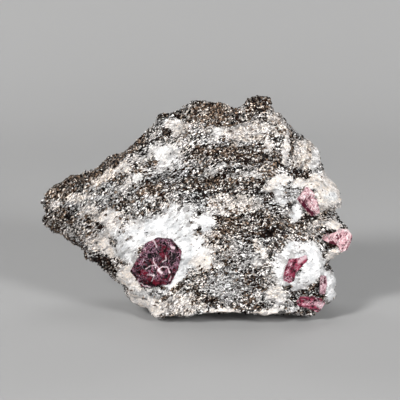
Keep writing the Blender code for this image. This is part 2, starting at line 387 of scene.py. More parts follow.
LEFT_WING = [
    Patch(Mineral.ASH, (-26.0, -7.8, 38.4), (4.8, 1.6), 18),
    Patch(Mineral.ASH, (-24.5, -10.3, 35.3), (3.9, 1.7), 15),
    Patch(Mineral.SPECKLED, (-29.9, -7.9, 29.8), (4.0, 3.0), 10),
    Patch(Mineral.PALE, (-23.8, -10.3, 28.7), (3.6, 3.0), 20),
    Patch(Mineral.SPECKLED, (-33.5, -4.0, 34.0), (2.8, 2.0), 20),
    Patch(Mineral.SPECKLED, (-28.4, -6.5, 21.4), (4.4, 3.2), -30),
    Patch(Mineral.SPECKLED, (-26.8, -6.2, 42.6), (5.6, 1.8), 22),
    Patch(Mineral.DARK, (-41.3, -1.7, 29.2), (3.7, 7.3), 0, 14),
    Patch(Mineral.SPECKLED, (-40.2, -2.2, 31.6), (2.2, 1.5), 20),
    Patch(Mineral.UMBER, (-37.0, -3.6, 27.8), (2.6, 1.5), -20),
    Patch(Mineral.BRONZE, (-38.8, -2.3, 36.2), (5.3, 2.3), 25),
    Patch(Mineral.UMBER, (-36.8, -2.0, 37.4), (4.6, 1.4), 27),
    Patch(Mineral.UMBER, (-35.4, -1.9, 18.6), (10.4, 1.9), -36),
    Patch(Mineral.SPECKLED, (-27.4, -7.4, 20.2), (3.0, 2.2), -30),
    Patch(Mineral.CREAM, (-25.0, -8.9, 20.0), (3.2, 1.7), -40),
    Patch(Mineral.PALE, (-25.4, -8.8, 24.4), (1.8, 1.0), 10),
    Patch(Mineral.BROWN, (-30.4, -5.8, 28.2), (1.6, 1.0), 60),
    Patch(Mineral.BLACK, (-25.1, -8.9, 14.9), (4.5, 2.0), -40),
    Patch(Mineral.ROSY, (-25.0, -7.6, 41.6), (8.0, 2.2), 29),
    Patch(Mineral.PALE, (-20.6, -8.2, 43.8), (2.6, 1.0), 29),
    Patch(Mineral.UMBER, (-23.8, -2.2, 44.9), (13.4, 1.9), 32.5),
    Patch(Mineral.BLACK, (-36.5, -3.9, 28.2), (1.4, 1.1)),
    Patch(Mineral.BLACK, (-27.3, -8.3, 26.6), (1.1, 1.1)),
]

ROUND_THE_LARGE_CRYSTAL = [
    Patch(Mineral.PALE, (-15.4, -13.3, 27.3), (2.5, 2.3)),
    Patch(Mineral.WHITE, (-8.2, -14.0, 27.4), (9.0, 5.0), 12),
    Patch(Mineral.WHITE, (-0.6, -16.4, 21.4), (4.8, 5.6)),
    Patch(Mineral.WHITE, (-4.6, -17.3, 13.8), (3.2, 1.8), 35),
    Patch(Mineral.WHITE, (-4.0, -17.0, 16.8), (2.0, 2.4)),
    Patch(Mineral.CREAM, (-18.4, -15.4, 12.6), (3.8, 6.6), -35),
    Patch(Mineral.CREAM, (-16.8, -14.0, 8.6), (2.6, 4.4), -38),
    Patch(Mineral.FROSTED, (-11.3, -17.0, 8.8), (5.6, 2.3), -5),
    Patch(Mineral.ASH, (-10.6, -17.6, 8.6), (2.6, 1.2), -5),
    Patch(Mineral.GREY, (-2.9, -13.0, 30.4), (2.8, 2.3)),
    Patch(Mineral.GREY, (-20.6, -14.8, 21.8), (5.0, 4.8)),
    Patch(Mineral.WHITE, (-4.2, -15.6, 24.6), (2.8, 2.8)),
    Patch(Mineral.WHITE, (-15.2, -14.6, 24.8), (2.2, 2.6)),
    Patch(Mineral.WHITE, (-7.4, -18.0, 11.9), (2.2, 1.1), 10),
    Patch(Mineral.WHITE, (3.8, -14.6, 28.8), (3.2, 2.6)),
    Patch(Mineral.CREAM, (1.9, -16.4, 18.1), (2.8, 2.5)),
    Patch(Mineral.CREAM, (-10.9, -16.2, 4.5), (6.2, 2.7)),
    Patch(Mineral.CREAM, (-15.6, -12.4, 4.4), (3.6, 2.4)),
    Patch(Mineral.BLACK, (1.4, -15.1, 27.4), (0.8, 0.8)),
]

UPPER_FACE = [
    Patch(Mineral.FROSTED, (-8.2, -10.6, 47.3), (5.3, 3.1), 8),
    Patch(Mineral.PALE, (-5.6, -3.5, 55.2), (3.0, 1.8)),
    Patch(Mineral.FROSTED, (-15.9, -11.2, 41.3), (1.4, 1.4)),
    Patch(Mineral.SPECKLED, (14.4, -8.2, 54.4), (10.5, 3.2)),
    Patch(Mineral.SPECKLED, (24.2, -3.0, 55.2), (5.0, 2.2), -48),
    Patch(Mineral.FROSTED, (6.5, -8.2, 54.0), (1.7, 1.9)),
    Patch(Mineral.ROSY, (32.5, -5.8, 47.8), (3.7, 6.8), -50),
    Patch(Mineral.PALE, (20.4, -9.6, 48.8), (1.5, 3.2), -14),
    Patch(Mineral.PALE, (25.9, -10.9, 49.4), (1.3, 4.6), -12),
    Patch(Mineral.PALE, (31.6, -5.6, 48.8), (0.8, 4.2), -14),
    Patch(Mineral.SPECKLED, (28.8, -7.4, 46.8), (1.7, 4.6), -14),
    Patch(Mineral.BROWN, (28.2, -8.2, 50.2), (0.5, 2.6), -14),
    Patch(Mineral.FROSTED, (34.9, -3.6, 45.6), (1.6, 4.8), -20, 10),
    Patch(Mineral.BLACK, (-8.1, -3.7, 53.2), (1.3, 0.9)),
    Patch(Mineral.BLACK, (-9.0, -0.1, 57.8), (1.6, 0.9)),
    Patch(Mineral.BLACK, (-4.1, -2.8, 57.6), (1.6, 0.8)),
    Patch(Mineral.BRONZE, (5.4, -3.7, 59.0), (7.3, 3.1)),
    Patch(Mineral.UMBER, (18.5, -1.8, 61.8), (4.4, 3.4)),
    Patch(Mineral.BLACK, (19.5, -1.2, 62.4), (2.2, 1.2)),
    Patch(Mineral.DARK, (13.1, -3.4, 57.5), (5.1, 1.7), 10),
    Patch(Mineral.DARK, (8.7, -10.2, 48.6), (10.1, 2.3), 3),
    Patch(Mineral.DARK, (18.0, -11.5, 47.2), (6.2, 1.7)),
    Patch(Mineral.DARK, (6.2, -12.1, 39.8), (11.8, 2.0)),
    Patch(Mineral.DARK, (-8.5, -13.2, 36.6), (3.9, 1.1), 40),
    Patch(Mineral.BROWN, (-12.4, -12.0, 38.3), (3.8, 1.9), 10),
]

MIDDLE = [
    Patch(Mineral.SPECKLED, (11.8, -13.0, 34.0), (7.4, 2.6)),
    Patch(Mineral.DARK, (11.5, -15.2, 27.8), (6.2, 2.5)),
    Patch(Mineral.ASH, (9.6, -17.8, 11.2), (6.2, 4.5)),
    Patch(Mineral.CREAM, (20.9, -19.7, 3.8), (5.6, 1.4)),
    Patch(Mineral.CREAM, (7.9, -18.8, 4.4), (4.8, 0.8)),
    Patch(Mineral.SPECKLED, (-2.6, -18.6, 6.4), (7.2, 2.8), 10),
    Patch(Mineral.DARK, (3.6, -19.4, 7.9), (3.2, 1.3)),
    Patch(Mineral.BROWN, (-6.2, -18.3, 10.0), (5.0, 0.7), 40),
    Patch(Mineral.BLACK, (17.4, -19.3, 13.4), (1.7, 1.7)),
    Patch(Mineral.BLACK, (21.4, -15.9, 27.1), (2.0, 1.7)),
    Patch(Mineral.BLACK, (22.3, -17.0, 20.1), (1.4, 1.1)),
    Patch(Mineral.SPECKLED, (17.8, -16.8, 23.2), (1.2, 1.8), 20),
    Patch(Mineral.PALE, (19.8, -17.2, 20.6), (1.2, 1.8), 20),
]

RIGHT_SIDE = [
    Patch(Mineral.PALE, (22.0, -13.1, 38.3), (2.5, 1.4), 10),
    Patch(Mineral.CREAM, (25.1, -12.7, 41.1), (4.2, 1.4), 8),
    Patch(Mineral.CREAM, (32.2, -11.9, 40.3), (4.8, 1.7)),
    Patch(Mineral.BLACK, (29.0, -9.9, 42.8), (1.2, 1.3), 30),
    Patch(Mineral.UMBER, (31.8, -9.0, 42.0), (1.5, 1.1), 20),
    Patch(Mineral.BROWN, (21.7, -11.9, 42.8), (1.2, 0.7)),
    Patch(Mineral.GREY, (26.4, -13.6, 37.2), (4.2, 2.8)),
    Patch(Mineral.ASH, (27.2, -13.4, 37.4), (2.0, 2.2), 20),
    Patch(Mineral.DARK, (19.7, -15.5, 30.1), (4.5, 2.8)),
    Patch(Mineral.DARK, (31.8, -12.3, 29.1), (7.9, 2.0), -5),
    Patch(Mineral.SPECKLED, (35.0, -10.5, 28.5), (3.6, 1.6)),
    Patch(Mineral.CREAM, (38.4, -9.6, 37.2), (5.0, 5.4), 0, 14),
    Patch(Mineral.GREY, (39.4, -11.4, 35.9), (1.6, 1.2)),
    Patch(Mineral.WHITE, (28.9, -12.9, 31.9), (1.6, 2.8), -10),
    Patch(Mineral.CREAM, (40.6, -9.0, 27.4), (2.8, 1.0), 10),
    Patch(Mineral.PALE, (42.6, -6.4, 31.2), (3.0, 2.2), 0, 12),
    Patch(Mineral.BLACK, (39.0, -12.9, 21.9), (1.4, 0.9)),
    Patch(Mineral.BLACK, (33.2, -11.7, 29.7), (1.5, 1.0)),
    Patch(Mineral.PALE, (23.4, -18.9, 9.7), (3.4, 2.3)),
    Patch(Mineral.WHITE, (30.7, -18.0, 16.5), (7.9, 7.6)),
    Patch(Mineral.GREY, (26.8, -16.7, 20.8), (3.7, 2.0), 40),
    Patch(Mineral.GREY, (26.2, -17.5, 14.5), (1.8, 4.4), 10),
    Patch(Mineral.WHITE, (32.4, -17.8, 16.8), (3.7, 5.6), -30),
    Patch(Mineral.ASH, (29.6, -18.6, 15.6), (0.9, 1.5), -25),
    Patch(Mineral.BLACK, (26.9, -18.6, 11.4), (0.8, 0.7)),
    Patch(Mineral.CREAM, (40.4, -12.0, 19.4), (2.6, 2.2), 0, 10),
    Patch(Mineral.WHITE, (39.3, -15.0, 11.4), (2.4, 4.6)),
    Patch(Mineral.CHARCOAL, (35.4, -17.0, 10.9), (1.4, 3.1), -10),
    Patch(Mineral.CHARCOAL, (31.3, -15.7, 8.5), (4.8, 1.1)),
    Patch(Mineral.DARK, (31.6, -16.5, 3.4), (2.8, 1.1)),
]

BACK_AND_SIDES = [
    Patch(Mineral.DARK, (-8.0, 17.0, 44.0), (16.0, 3.0), -14),
    Patch(Mineral.PALE, (-14.0, 17.0, 30.0), (10.0, 4.6), -12, 9),
    Patch(Mineral.WHITE, (-16.0, 17.0, 30.4), (5.0, 2.2), -12, 9),
    Patch(Mineral.SPECKLED, (5.0, 19.0, 19.0), (10.0, 4.4), -6, 9),
    Patch(Mineral.CREAM, (3.0, 19.0, 20.0), (4.0, 2.2), -6, 9),
    Patch(Mineral.DARK, (6.0, 19.0, 34.0), (15.0, 2.6), -4, 9),
    Patch(Mineral.PALE, (18.0, 18.0, 26.0), (6.4, 3.8), 4, 9),
    Patch(Mineral.FROSTED, (16.6, 18.0, 26.4), (3.0, 2.0), 4, 9),
    Patch(Mineral.SPECKLED, (24.0, 16.0, 12.0), (8.4, 6.4), 0, 9),
    Patch(Mineral.FROSTED, (25.0, 16.0, 13.0), (4.0, 3.4), 0, 9),
    Patch(Mineral.BLACK, (12.0, 19.0, 13.0), (2.4, 2.0)),
    Patch(Mineral.BRONZE, (-24.0, 14.0, 40.0), (8.0, 2.4), 24, 9),
    Patch(Mineral.DARK, (-28.0, 12.0, 20.0), (8.0, 3.0), -30, 9),
    Patch(Mineral.BRONZE, (8.0, 8.0, 60.0), (9.0, 3.0), 0, 9),
    Patch(Mineral.PALE, (26.0, 8.0, 50.0), (5.0, 4.0), -40, 8),
    Patch(Mineral.DARK, (38.0, 6.0, 28.0), (5.0, 3.0), 0, 8),
    Patch(Mineral.CREAM, (36.0, 10.0, 38.0), (4.0, 4.0), 0, 8),
]

# A later patch lies over the earlier ones.
PATCHES = LEFT_WING + ROUND_THE_LARGE_CRYSTAL + UPPER_FACE + MIDDLE + RIGHT_SIDE + BACK_AND_SIDES


@dataclass(frozen=True)
class SchistFinish:
    """Broken mica schist, bare as it came from the ground: dark mica, grey quartz and white feldspar.

    To the eye it is salt and pepper. Mica glints, feldspar is matt and quartz is a little glassy.

    Attributes:
        grain: How wide a grain is.
        coarse_grain: How wide the larger grains are.
        coarse_share: The share of the grains that are of the larger ones.
        fraying: How far a grain's edge strays.
        flattening: How much flatter a grain is across the layers than along them.
        tear: How wide the waves are by which mica and pale grains reach into each other.
        tearing: How strongly those waves count, where a grain's own draw counts 1.
        chip: How wide the chips are that a grain is broken into.
        mottle: How wide the specks in a grain are.
        cloud: How wide the grey clouds in white feldspar are.
        tilt: How far a grain's face turns its own way.
    """

    grain: float = 0.78
    coarse_grain: float = 1.6
    coarse_share: float = 0.42
    fraying: float = 1.1
    flattening: float = 1.7
    tear: float = 0.95
    tearing: float = 3.0
    chip: float = 0.62
    mottle: float = 0.35
    cloud: float = 2.6
    tilt: float = 0.7

    def material(self) -> bpy.types.Material:
        """Makes the material, which reads the makeup that the rock's skin carries."""
        material = blank_material("broken_mica_schist")
        node = partial(add_node, material.node_tree)
        shares = {name: node(ATTRIBUTE, attribute_name=name).outputs["Fac"] for name in MAKEUP_NAMES}
        place = node(ATTRIBUTE, attribute_name="layered_place").outputs["Vector"]

        # Fine and coarse grains, flat along the layers, each with its own three random numbers.
        ragged = node(NOISE, {"Vector": place, "Scale": 1 / self.grain, "Detail": 3.0, "Roughness": 0.6})
        frayed = sway(node, place, ragged.outputs["Color"], self.fraying)
        flat = node(VECTOR_MATH, {0: frayed, 1: (1.0, 1.0, self.flattening)}, operation="MULTIPLY")
        fine = node(VORONOI, {"Vector": flat, "Scale": 1 / self.grain})
        coarse = node(VORONOI, {"Vector": flat, "Scale": 1 / self.coarse_grain})
        coarse_parts = node(SEPARATE_COLOUR, {0: coarse.outputs["Color"]})
        is_coarse = node(MATH, {0: coarse_parts.outputs[2], 1: self.coarse_share}, operation="LESS_THAN")
        grain = node(MIX, {0: is_coarse, 6: fine.outputs["Color"], 7: coarse.outputs["Color"]})
        parts = node(SEPARATE_COLOUR, {0: grain})
        pick, tone, tint = parts.outputs[0], parts.outputs[1], parts.outputs[2]

        # What each grain is.
        crinkles = node(NOISE, {"Vector": flat, "Scale": 1 / self.tear, "Detail": 2.0})
        torn = node(MATH, {0: crinkles, 1: self.tearing, 2: pick}, operation="MULTIPLY_ADD")
        rank = node(MAP_RANGE, {"Value": torn, "From Min": 1.2, "From Max": 2.8})
        is_mica = node(MATH, {0: rank, 1: shares["mica"]}, operation="LESS_THAN")
        is_quartz = node(MATH, {0: tone, 1: shares["quartz"]}, operation="LESS_THAN")
        is_bronze = node(MATH, {0: tint, 1: shares["bronze"]}, operation="LESS_THAN")

        # The colour of each kind of grain.
        biotite = node(MIX, {0: tone, 6: "#020101", 7: "#2c1a11"})
        chips = node(NOISE, {"Vector": flat, "Scale": 1 / self.chip, "Detail": 2.0})
        chip_parts = node(SEPARATE_COLOUR, {0: chips.outputs["Color"]})
        chip_pick = chip_parts.outputs[1]
        chip_tone = node(MAP_RANGE, {"Value": chip_parts, "From Min": 0.38, "From Max": 0.62})
        bronze = node(MIX, {0: chip_tone, 6: "#180b05", 7: "#8f7c6c"})
        mica = node(MIX, {0: is_bronze, 6: biotite, 7: bronze})
        clouds = node(NOISE, {"Vector": place, "Scale": 1 / self.cloud, "Detail": 4.0})
        cloudy = node(MAP_RANGE, {"Value": clouds, "From Min": 0.42, "From Max": 0.62, "To Max": 0.9})
        white = node(MIX, {0: cloudy, 6: "#e9e9ea", 7: "#c2c4c6"})
        stained = node(MATH, {0: tint, 1: shares["stain"]}, operation="MULTIPLY")
        feldspar = node(MIX, {0: stained, 6: white, 7: "#eadccb"})
        smoky = node(MIX, {0: shares["mica"], 6: "#a4a3a3", 7: "#2a2827"})
        quartz = node(MIX, {0: tint, 6: smoky, 7: "#cdccca"})
        pale = node(MIX, {0: is_quartz, 6: feldspar, 7: quartz})
        rock = node(MIX, {0: is_mica, 6: pale, 7: mica})

        # Dark seams and bright chips, which break the grains up where mica is mixed in.
        specks = node(NOISE, {"Vector": place, "Scale": 1 / self.mottle, "Detail": 2.0})
        # Seams: partly the grains' dark boundaries, partly painted shade in the crevices between them.
        seams = node(VORONOI, {"Vector": flat, "Scale": 1 / self.grain}, feature="DISTANCE_TO_EDGE")
        painted_seam_shade = node(MAP_RANGE, {"Value": seams, "From Max": 0.15, "To Min": 0.08})
        chip_light = node(
            MAP_RANGE,
            {"Value": chip_pick, "From Min": 0.42, "From Max": 0.56, "To Min": 0.03, "To Max": 1.6},
        )
        light = node(MATH, {0: painted_seam_shade, 1: chip_light}, operation="MULTIPLY")
        mixed = node(MAP_RANGE, {"Value": shares["mica"], "From Max": 0.35, "To Min": 0.12})
        mottled = node(MIX, {0: mixed, 6: rock, 7: light}, blend_type="MULTIPLY")
        rusty = node(MIX, {0: shares["stain"], 6: mottled, 7: "#fcf4ee"}, blend_type="MULTIPLY")

        # Each grain's face turns its own way, and mica shines more than the rest.
        rough = node(MAP_RANGE, {"Value": is_mica, "To Min": 0.6, "To Max": 0.22})
        height = node(MATH, {0: fine, 1: specks}, operation="ADD")
        bump = node(BUMP, {"Strength": 0.7, "Distance": 0.25 * MM, "Height": height})
        facet = node(VECTOR_MATH, {0: sway(node, bump, grain, self.tilt)}, operation="NORMALIZE")
        gloss = {"Roughness": rough, "IOR": SCHIST_IOR, "Specular IOR Level": SCHIST_GLOSS}
        surface = node(PRINCIPLED, {"Base Color": rusty, "Normal": facet, **gloss})
        node(MATERIAL_OUTPUT, {"Surface": surface})
        return material


@dataclass(frozen=True)
class GrainFinish:
    """Loose grains and flakes of one mineral, each of its own shade.

    Attributes:
        name: The mineral and its state.
        dark: Its darkest colour.
        light: Its lightest colour, which on black mica is a painted glint.
        stained_dark: Its darkest colour where the rock is stained or weathered.
        stained: Its lightest colour there.
        stain: The attribute that says how stained it is.
        roughness: How rough its faces are.
        bias: How far its grains lean to the dark, where 1 is even.
        clouds_per_mm: How many specks of stain there are on a millimetre.
    """

    name: str
    dark: str
    light: str
    stained_dark: str
    stained: str
    stain: str
    roughness: float
    bias: float
    clouds_per_mm: float = 0.9

    def material(self) -> bpy.types.Material:
        """Makes the material, which reads each grain's own tone."""
        material = blank_material(self.name)
        node = partial(add_node, material.node_tree)
        tone = node(ATTRIBUTE, attribute_name="tone").outputs["Fac"]
        stain = node(ATTRIBUTE, attribute_name=self.stain).outputs["Fac"]
        shade = node(MATH, {0: tone, 1: self.bias}, operation="POWER")
        plain = node(MIX, {0: shade, 6: self.dark, 7: self.light})
        coordinates = node("ShaderNodeTexCoord").outputs["Object"]
        cloud = node(NOISE, {"Vector": coordinates, "Scale": self.clouds_per_mm / MM, "Detail": 2.0})
        drawn = node(ATTRIBUTE, attribute_name="draw").outputs["Fac"]
        chosen = node(MATH, {0: drawn, 1: stain}, operation="LESS_THAN")
        cloudy = node(MAP_RANGE, {"Value": cloud, "From Min": 0.35, "From Max": 0.65})
        share = node(MATH, {0: chosen, 1: cloudy}, operation="MULTIPLY")
        weathered = node(MIX, {0: tone, 6: self.stained_dark, 7: self.stained})
        colour = node(MIX, {0: share, 6: plain, 7: weathered})
        bump = node(BUMP, {"Strength": 0.5, "Distance": 0.1 * MM, "Height": cloud})
        gloss = {"Roughness": self.roughness, "IOR": SCHIST_IOR, "Specular IOR Level": SCHIST_GLOSS}
        surface = node(PRINCIPLED, {"Base Color": colour, "Normal": bump, **gloss})
        node(MATERIAL_OUTPUT, {"Surface": surface})
        return material


@dataclass(frozen=True)
class CorundumFinish:
    """Corundum broken across, uneven and glassy, with fine crinkled fractures inside that look paler.

    Attributes:
        name: The stone and its shade.
        deep: Its darkest colour, where the eye sees into it.
        body: Its main colour.
        mist: The colour of its fine fractures.
        pale: The colour of its open cracks and of the glints painted on it.
        clear: The share of it that shows the main colour, not the darkest.
        misty: How strongly the fine fractures show.
        speck: How wide the small faces are that it is broken into.
        crinkle: How wide the waves of its fine fractures are.
        roughness: How rough its broken face is.
        tilt: How far each of its small faces turns its own way.
    """

    name: str
    deep: str
    body: str
    mist: str
    pale: str
    clear: float
    misty: float
    speck: float = 0.5
    crinkle: float = 0.7
    roughness: float = 0.4
    tilt: float = 0.9

    def material(self) -> bpy.types.Material:
        """Makes the material, which reads the veils, glows and cracks that each crystal carries."""
        material = blank_material(self.name)
        node = partial(add_node, material.node_tree)
        veil, glow, crack = (
            node(ATTRIBUTE, attribute_name=name).outputs["Fac"] for name in ("veil", "glow", "crack")
        )
        place = node(ATTRIBUTE, attribute_name="grained_place").outputs["Vector"]

        # The stone's depth, which shows dark or in its main colour.
        bends = node(NOISE, {"Vector": place, "Scale": 0.7 / self.crinkle, "Detail": 1.0})
        bent = sway(node, place, bends.outputs["Color"], 1.6 * self.crinkle)
        waves = node(NOISE, {"Vector": bent, "Scale": 1 / self.crinkle, "Detail": 3.0, "Roughness": 0.6})
        wave_parts = node(SEPARATE_COLOUR, {0: waves.outputs["Color"]})
        clouds = node(NOISE, {"Vector": place, "Scale": 0.45 / self.crinkle, "Detail": 2.0})
        depth = node(MATH, {0: glow, 1: 0.25, 2: wave_parts}, operation="MULTIPLY_ADD")
        lit = node(
            MAP_RANGE,
            {"Value": depth, "From Min": 0.56 - 0.2 * self.clear, "From Max": 0.66 - 0.2 * self.clear},
        )
        body = node(MIX, {0: lit, 6: self.deep, 7: self.body})

        # Fine fractures, along the middle line of a wave, and short bits of them painted pale as glints.
        aside = node(MATH, {0: wave_parts.outputs[1], 1: 0.5}, operation="SUBTRACT")
        apart = node(MATH, {0: aside}, operation="ABSOLUTE")
        line = node(
            MAP_RANGE, {"Value": apart, "From Min": 0.015, "From Max": 0.045, "To Min": 1.0, "To Max": 0.0}
        )
        cloudy = node(
            MAP_RANGE, {"Value": clouds, "From Min": 0.36, "From Max": 0.62, "To Max": self.misty}
        )
        strength = node(MATH, {0: cloudy, 1: veil}, operation="ADD", use_clamp=True)
        lines = node(MATH, {0: line, 1: strength}, operation="MULTIPLY")
        misted = node(MIX, {0: lines, 6: body, 7: self.mist})
        # Painted highlights: a few short bits of the fractures take the pale colour.
        painted_glint_pick = node(MAP_RANGE, {"Value": wave_parts.outputs[2], "From Min": 0.58, "From Max": 0.66})
        painted_glint = node(MATH, {0: lines, 1: painted_glint_pick}, operation="MULTIPLY")
        cracks_and_painted_glints = node(MATH, {0: painted_glint, 1: crack}, operation="MAXIMUM", use_clamp=True)
        colour = node(MIX, {0: cracks_and_painted_glints, 6: misted, 7: self.pale})

        # Small faces, each turned its own way.
        bump = node(BUMP, {"Strength": 0.6, "Distance": 0.2 * MM, "Height": waves})
        specks = node(VORONOI, {"Vector": bent, "Scale": 1 / self.speck})
        facing = sway(node, bump, specks.outputs["Color"], self.tilt)
        facet = node(VECTOR_MATH, {0: facing}, operation="NORMALIZE")
        gloss = {"Roughness": self.roughness, "IOR": CORUNDUM_IOR, "Specular IOR Level": CORUNDUM_GLOSS}
        surface = node(PRINCIPLED, {"Base Color": colour, "Normal": facet, **gloss})
        node(MATERIAL_OUTPUT, {"Surface": surface})
        return material


@dataclass
class SchistBlock:
    """The block of mica schist: its skin, with relief down to the grain, and the makeup of each place.

    Attributes:
        skin: How long a quad of the skin is.
        smoothing: How many times its facets are smoothed.
        grain: How wide the grains are that stand out.
        grain_height: How far they stand out.
        flattening: How much flatter they are across the layers than along them.
        sheet: How thick a mica sheet is.
        sheet_width: How wide a piece of a broken sheet is.
        sheet_height: How far a broken sheet stands out.
        raggedness: How far a sheet's edge strays.
        still_height: How high above the ground the relief has its full height.
        overgrowth: How far the crystals are grown, to close the skin over their pockets.
        seat: How far the skin then sinks under each crystal's face.
        band_length: How long the mica bands' waves are.
        band_height: How thick the bands are.
        clot: How wide the clots of mica are.
        clot_warp: How far they bend a patch's edge, in shares of its reach.
        fray: How wide the waves are that fray the patches.
        fray_warp: How far they do.
        stain: How wide the stained parts are.
        rag: How wide the waves are in a sheet's edge.
        shift: How far each layer's sheets are shifted from those below, in sheets.
        pale_relief: The share of the relief that rock without mica has.
        mica_relief: The share that mica adds.
    """

    skin: float = 0.46
    smoothing: int = 2
    grain: float = 1.1
    grain_height: float = 0.38
    flattening: float = 1.6
    sheet: float = 1.0
    sheet_width: float = 3.4
    sheet_height: float = 0.55
    raggedness: float = 0.4
    still_height: float = 1.5
    overgrowth: float = 0.45
    seat: float = 0.7
    band_length: float = 14.0
    band_height: float = 2.4
    clot: float = 3.2
    clot_warp: float = 0.45
    fray: float = 1.1
    fray_warp: float = 0.30
    stain: float = 9.0
    rag: float = 1.6
    shift: float = 0.37
    pale_relief: float = 0.35
    mica_relief: float = 0.9
    obj: bpy.types.Object | None = None

    def build(self, crystals: list[str]) -> None:
        """Knits the skin over the solid and gives it its relief and its makeup.

        Args:
            crystals: The nodes of the crystals that it holds.
        """
        solid = millimetre_copy("mica_schist")
        for node in crystals:
            grown = millimetre_copy(node, Vector((1.0, 0.0, 1.0)) * self.overgrowth)
            mesh = bpy.data.meshes.new(node)
            grown.to_mesh(mesh)
            grown.free()
            solid.from_mesh(mesh)
            bpy.data.meshes.remove(mesh)
        self.obj = piece_from(solid, "schist_block")
        reknit(self.obj, self.skin)
        mesh = self.obj.data
        places = vertex_places(mesh)
        layers = np.array([layer_height(Vector(place)) for place in places])
        makeup = self.makeup(places, layers)
        self.raise_relief(places, layers, makeup[:, 0], self.seat_depths(places, crystals))
        write_values(mesh, "layered_place", np.column_stack((places[:, :2], layers)))
        climb = LAYER_CLIMB - 2.0 * LAYER_BEND * (places[:, 0] - BLOCK_ORIGIN.x)
        even = np.ones(len(climb))
        write_values(mesh, "layer_up", np.column_stack((-climb, LAYER_LEAN * even, even)))
        for column, name in enumerate(MAKEUP_NAMES):
            write_values(mesh, name, makeup[:, column])

    def makeup(self, places: np.ndarray, layers: np.ndarray) -> np.ndarray:
        """Works out what each place of the skin is made of.

        Args:
            places: The skin's vertices, one row each.
            layers: How high each lies in the stack of layers.

        Returns:
            The shares of mica, quartz, stain and bronze, one row for each place.
        """
        banded = np.column_stack((places[:, :2] / self.band_length, layers / self.band_height))
        bands = np.array([noise.noise(Vector(place)) for place in banded])
        clots, frays, stains = (
            np.array([noise.noise(Vector(place) / width) for place in places])
            for width in (self.clot, self.fray, self.stain)
        )
        makeup = np.tile(astuple(COMMON_ROCK), (len(places), 1))
        for wave, swing in ((bands, BAND_SWING), (clots, CLOT_SWING), (stains, STAIN_SWING)):
            makeup += np.outer(wave, astuple(swing))
        warp = self.clot_warp * clots + self.fray_warp * frays
        for patch in PATCHES:
            weight = patch.weights(places, warp)[:, None]
            makeup += weight * (np.array(astuple(patch.mineral.value)) - makeup)
        return np.clip(makeup, 0.0, 1.0)

    def seat_depths(self, places: np.ndarray, crystals: list[str]) -> np.ndarray:
        """Finds how far the skin sinks under the crystals' faces.

        Args:
            places: The skin's vertices, one row each.
            crystals: The nodes of the crystals.

        Returns:
            A depth for each place, which is 0 away from the crystals.
        """
        depths = np.zeros(len(places))
        for node in crystals:
            stone = millimetre_copy(node)
            tree = BVHTree.FromBMesh(stone)
            stone.free()
            for number, place in enumerate(places):
                _, _, _, distance = tree.find_nearest(Vector(place), 1.0)
                if distance is not None:
                    # It has its full depth up to 0.2 mm from the crystal, and ends at 0.4 mm.
                    depth = self.seat * min(1.0, max(0.0, 2.0 - 5.0 * distance))
                    depths[number] = max(depths[number], depth)
        return depths

    def raise_relief(
        self, places: np.ndarray, layers: np.ndarray, mica: np.ndarray, depths: np.ndarray
    ) -> None:
        """Moves the skin in and out by its grains and its broken sheets, and leaves the base flat.

        Args:
            places: The skin's vertices, one row each.
            layers: How high each lies in the stack of layers.
            mica: The share of mica at each.
            depths: How far each sinks under a crystal.
        """
        bm = bmesh.new()
        bm.from_mesh(self.obj.data)
        every_way = {"use_axis_x": True, "use_axis_y": True, "use_axis_z": True}
        for _ in range(self.smoothing):
            bmesh.ops.smooth_vert(bm, verts=bm.verts, factor=0.5, **every_way)
        bm.normal_update()
        moves = []
        for (x, y, z), layer, share, depth in zip(places, layers, mica, depths):
            along = Vector((x, y, layer * self.flattening)) / self.grain
            # A place lies 0.45 of a grain from its grain's middle on average, so the block keeps its size.
            grain = 0.45 - noise.voronoi(along)[0][0]
            ragged = self.raggedness * noise.noise(Vector((x, y, z)) / self.rag)
            level = math.floor(layer / self.sheet + ragged)
            across, deep = x / self.sheet_width, y / self.sheet_width
            shifted = across + self.shift * level
            sheet = noise.cell(Vector((shifted + ragged, deep + ragged, level + 0.5))) - 0.5
            relief = self.pale_relief + self.mica_relief * share
            height = (self.grain_height * grain + self.sheet_height * sheet) * relief
            moves.append((-depth if depth else height * min(1.0, z / self.still_height)) * MM)
        steps = [vert.normal * move for vert, move in zip(bm.verts, moves)]
        for vert, step in zip(bm.verts, steps):
            vert.co += step
            vert.co.z = max(vert.co.z, 0.0)
        bm.to_mesh(self.obj.data)
        bm.free()

    def dress(self) -> None:
        """Gives the block its material, and tells the frame what it stands for."""
        self.obj.data.materials.append(SchistFinish().material())
        self.obj.data.shade_smooth()
        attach(self.obj, "root")
        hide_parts("mica_schist")
        report(self.obj)


class Shape(Enum):
    """The forms that loose grains take, each with how far its cone or ball is squeezed along each axis."""

    FLAKE = (1.0, 0.42, 1.0)
    GRAIN = (1.0, 0.4, 0.32)


